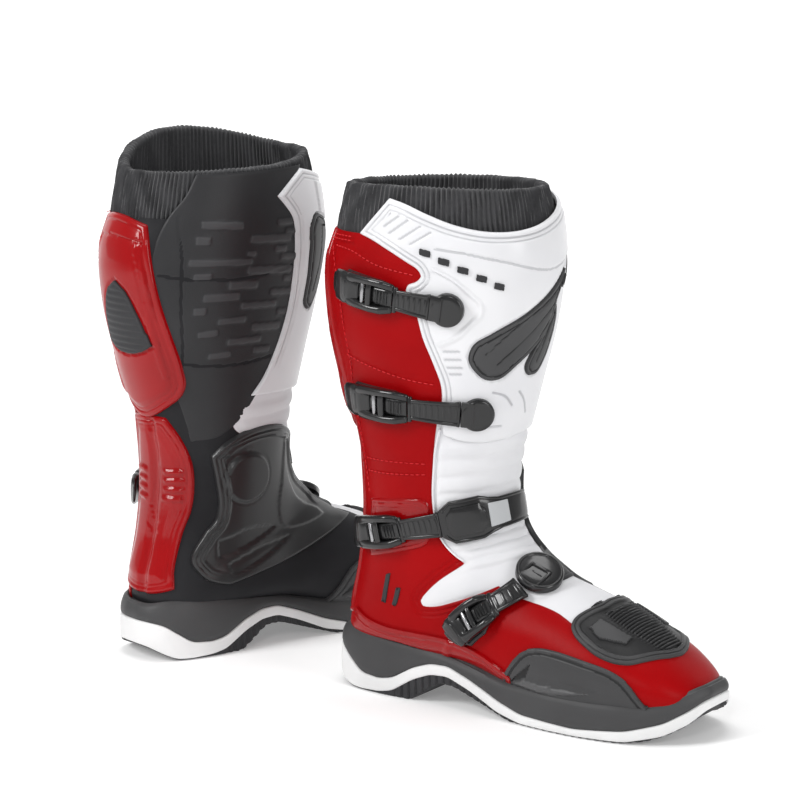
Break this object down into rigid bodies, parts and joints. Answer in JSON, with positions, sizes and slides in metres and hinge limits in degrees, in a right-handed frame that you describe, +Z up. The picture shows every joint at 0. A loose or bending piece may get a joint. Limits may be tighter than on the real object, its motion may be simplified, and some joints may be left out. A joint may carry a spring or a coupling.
{
  "type": "motocross riding boots",
  "caption": "Pair of tall off-road riding boots with plastic shin, calf and ankle guards, a flexing ankle and buckled straps with flip levers.",
  "frame": {"origin": "middle of the footprint of the pair, on the ground", "axes": "+Z up; +Y the way a person looks at the pair; the right boot stands in front, its outer side towards -Y, toe towards +X and -Y"},
  "size_m": [0.4768, 0.456, 0.4149],
  "materials": {
    "red_leather": "satin",
    "red_plastic": "gloss",
    "white_plastic": "satin",
    "white_leather": "satin",
    "white_rubber": "matte",
    "dark_rubber": "matte",
    "black_rubber": "matte",
    "black_leather": "satin",
    "black_plastic": "satin",
    "black_fabric": "matte",
    "black_knit": "matte",
    "black_gloss": "gloss",
    "grey_reflective": "satin",
    "steel": "satin",
    "red_thread": "matte"
  },
  "bodies": {
    "right_foot": {"right_outsole": "white_rubber", "right_midsole": "dark_rubber", "right_insole": "black_fabric", "right_lining": "black_fabric", "right_foot_upper": "red_leather", "right_bellows": "white_leather", "right_achilles_guard": "red_plastic", "right_ankle_cup": "red_plastic", "right_ankle_guard": "black_leather", "right_toe_pad": "black_rubber", "right_anchor_4": "black_plastic", "right_receiver_4": "black_plastic"},
    "right_shaft": {"right_shaft_upper": "red_leather", "right_collar": "black_knit", "right_shin_plate": "white_plastic", "right_calf_guard": "red_plastic", "right_anchor_1": "black_plastic", "right_anchor_2": "black_plastic", "right_anchor_3": "black_plastic", "right_receiver_1": "black_plastic", "right_receiver_2": "black_plastic", "right_receiver_3": "black_plastic"},
    "right_strap_1": {"right_strap_1": "black_plastic"},
    "right_lever_1": {"right_lever_1": "black_plastic"},
    "right_strap_2": {"right_strap_2": "black_plastic"},
    "right_lever_2": {"right_lever_2": "black_plastic"},
    "right_strap_3": {"right_strap_3": "black_plastic"},
    "right_lever_3": {"right_lever_3": "black_plastic"},
    "right_strap_4": {"right_strap_4": "black_plastic"},
    "right_lever_4": {"right_lever_4": "black_plastic"},
    "left_foot": {"left_outsole": "white_rubber", "left_midsole": "dark_rubber", "left_insole": "black_fabric", "left_lining": "black_fabric", "left_foot_upper": "red_leather", "left_bellows": "white_leather", "left_achilles_guard": "red_plastic", "left_ankle_cup": "red_plastic", "left_ankle_guard": "black_leather", "left_toe_pad": "black_rubber", "left_anchor_4": "black_plastic", "left_receiver_4": "black_plastic"},
    "left_shaft": {"left_shaft_upper": "red_leather", "left_collar": "black_knit", "left_shin_plate": "white_plastic", "left_calf_guard": "red_plastic", "left_anchor_1": "black_plastic", "left_anchor_2": "black_plastic", "left_anchor_3": "black_plastic", "left_receiver_1": "black_plastic", "left_receiver_2": "black_plastic", "left_receiver_3": "black_plastic"},
    "left_strap_1": {"left_strap_1": "black_plastic"},
    "left_lever_1": {"left_lever_1": "black_plastic"},
    "left_strap_2": {"left_strap_2": "black_plastic"},
    "left_lever_2": {"left_lever_2": "black_plastic"},
    "left_strap_3": {"left_strap_3": "black_plastic"},
    "left_lever_3": {"left_lever_3": "black_plastic"},
    "left_strap_4": {"left_strap_4": "black_plastic"},
    "left_lever_4": {"left_lever_4": "black_plastic"}
  },
  "joints": [
    {"name": "right_ankle_flex", "type": "hinge", "parent": "right_foot", "child": "right_shaft", "pos_m": [0.02996, -0.07478, 0.112], "axis": [0.549, 0.8358, 0], "range_deg": [0, 12], "stiffness_Nm_per_rad": 30, "deforming": ["right_bellows", "right_lining"]},
    {"name": "right_strap_1_swing", "type": "hinge", "parent": "right_shaft", "child": "right_strap_1", "pos_m": [0.01834, -0.15024, 0.3063], "axis": [0.1029, -0.1341, 0.9856], "range_deg": [0, 60]},
    {"name": "right_lever_1_flip", "type": "hinge", "parent": "right_strap_1", "child": "right_lever_1", "pos_m": [-0.00556, -0.13848, 0.31002], "axis": [0.0802, -0.1354, 0.9875], "range_deg": [0, 95]},
    {"name": "right_strap_2_swing", "type": "hinge", "parent": "right_shaft", "child": "right_strap_2", "pos_m": [0.04107, -0.14431, 0.22626], "axis": [0.054, -0.1608, 0.9855], "range_deg": [0, 60]},
    {"name": "right_lever_2_flip", "type": "hinge", "parent": "right_strap_2", "child": "right_lever_2", "pos_m": [0.00541, -0.1344, 0.22849], "axis": [-0.0054, -0.1271, 0.9919], "range_deg": [0, 95]},
    {"name": "right_strap_3_swing", "type": "hinge", "parent": "right_shaft", "child": "right_strap_3", "pos_m": [0.02658, -0.13281, 0.14082], "axis": [-0.2156, 0.0037, 0.9765], "range_deg": [0, 60]},
    {"name": "right_lever_3_flip", "type": "hinge", "parent": "right_strap_3", "child": "right_lever_3", "pos_m": [-0.00095, -0.11958, 0.13423], "axis": [-0.2318, 0.0582, 0.971], "range_deg": [0, 95]},
    {"name": "right_strap_4_swing", "type": "hinge", "parent": "right_foot", "child": "right_strap_4", "pos_m": [0.08602, -0.15443, 0.09852], "axis": [-0.5273, 0.6418, 0.5568], "range_deg": [0, 60]},
    {"name": "right_lever_4_flip", "type": "hinge", "parent": "right_strap_4", "child": "right_lever_4", "pos_m": [0.06646, -0.15498, 0.08585], "axis": [-0.3488, 0.6032, 0.7173], "range_deg": [0, 95]},
    {"name": "left_ankle_flex", "type": "hinge", "parent": "left_foot", "child": "left_shaft", "pos_m": [-0.15216, 0.06247, 0.112], "axis": [-0.6157, 0.788, 0], "range_deg": [0, 12], "stiffness_Nm_per_rad": 30, "deforming": ["left_bellows", "left_lining"]},
    {"name": "left_strap_1_swing", "type": "hinge", "parent": "left_shaft", "child": "left_strap_1", "pos_m": [-0.16993, 0.13672, 0.3063], "axis": [-0.0915, -0.142, -0.9856], "range_deg": [0, 60]},
    {"name": "left_lever_1_flip", "type": "hinge", "parent": "left_strap_1", "child": "left_lever_1", "pos_m": [-0.19278, 0.12304, 0.31002], "axis": [-0.0689, -0.1415, -0.9875], "range_deg": [0, 95]},
    {"name": "left_strap_2_swing", "type": "hinge", "parent": "left_shaft", "child": "left_strap_2", "pos_m": [-0.14679, 0.13267, 0.22626], "axis": [-0.0406, -0.1647, -0.9855], "range_deg": [0, 60]},
    {"name": "left_lever_2_flip", "type": "hinge", "parent": "left_strap_2", "child": "left_lever_2", "pos_m": [-0.18151, 0.11987, 0.22849], "axis": [0.0158, -0.1262, -0.9919], "range_deg": [0, 95]},
    {"name": "left_strap_3_swing", "type": "hinge", "parent": "left_shaft", "child": "left_strap_3", "pos_m": [-0.16029, 0.12002, 0.14082], "axis": [0.2146, 0.0213, -0.9765], "range_deg": [0, 60]},
    {"name": "left_lever_3_flip", "type": "hinge", "parent": "left_strap_3", "child": "left_lever_3", "pos_m": [-0.18664, 0.10458, 0.13423], "axis": [0.2262, 0.0769, -0.971], "range_deg": [0, 95]},
    {"name": "left_strap_4_swing", "type": "hinge", "parent": "left_foot", "child": "left_strap_4", "pos_m": [-0.10282, 0.14644, 0.09852], "axis": [0.473, 0.6828, -0.5568], "range_deg": [0, 60]},
    {"name": "left_lever_4_flip", "type": "hinge", "parent": "left_strap_4", "child": "left_lever_4", "pos_m": [-0.12236, 0.14539, 0.08585], "axis": [0.2982, 0.6297, -0.7173], "range_deg": [0, 95]},
    {"name": "left_boot_lift", "type": "slide", "parent": "right_foot", "child": "left_foot", "axis": [0, 0, 1], "range_m": [0, 0.3]}
  ]
}
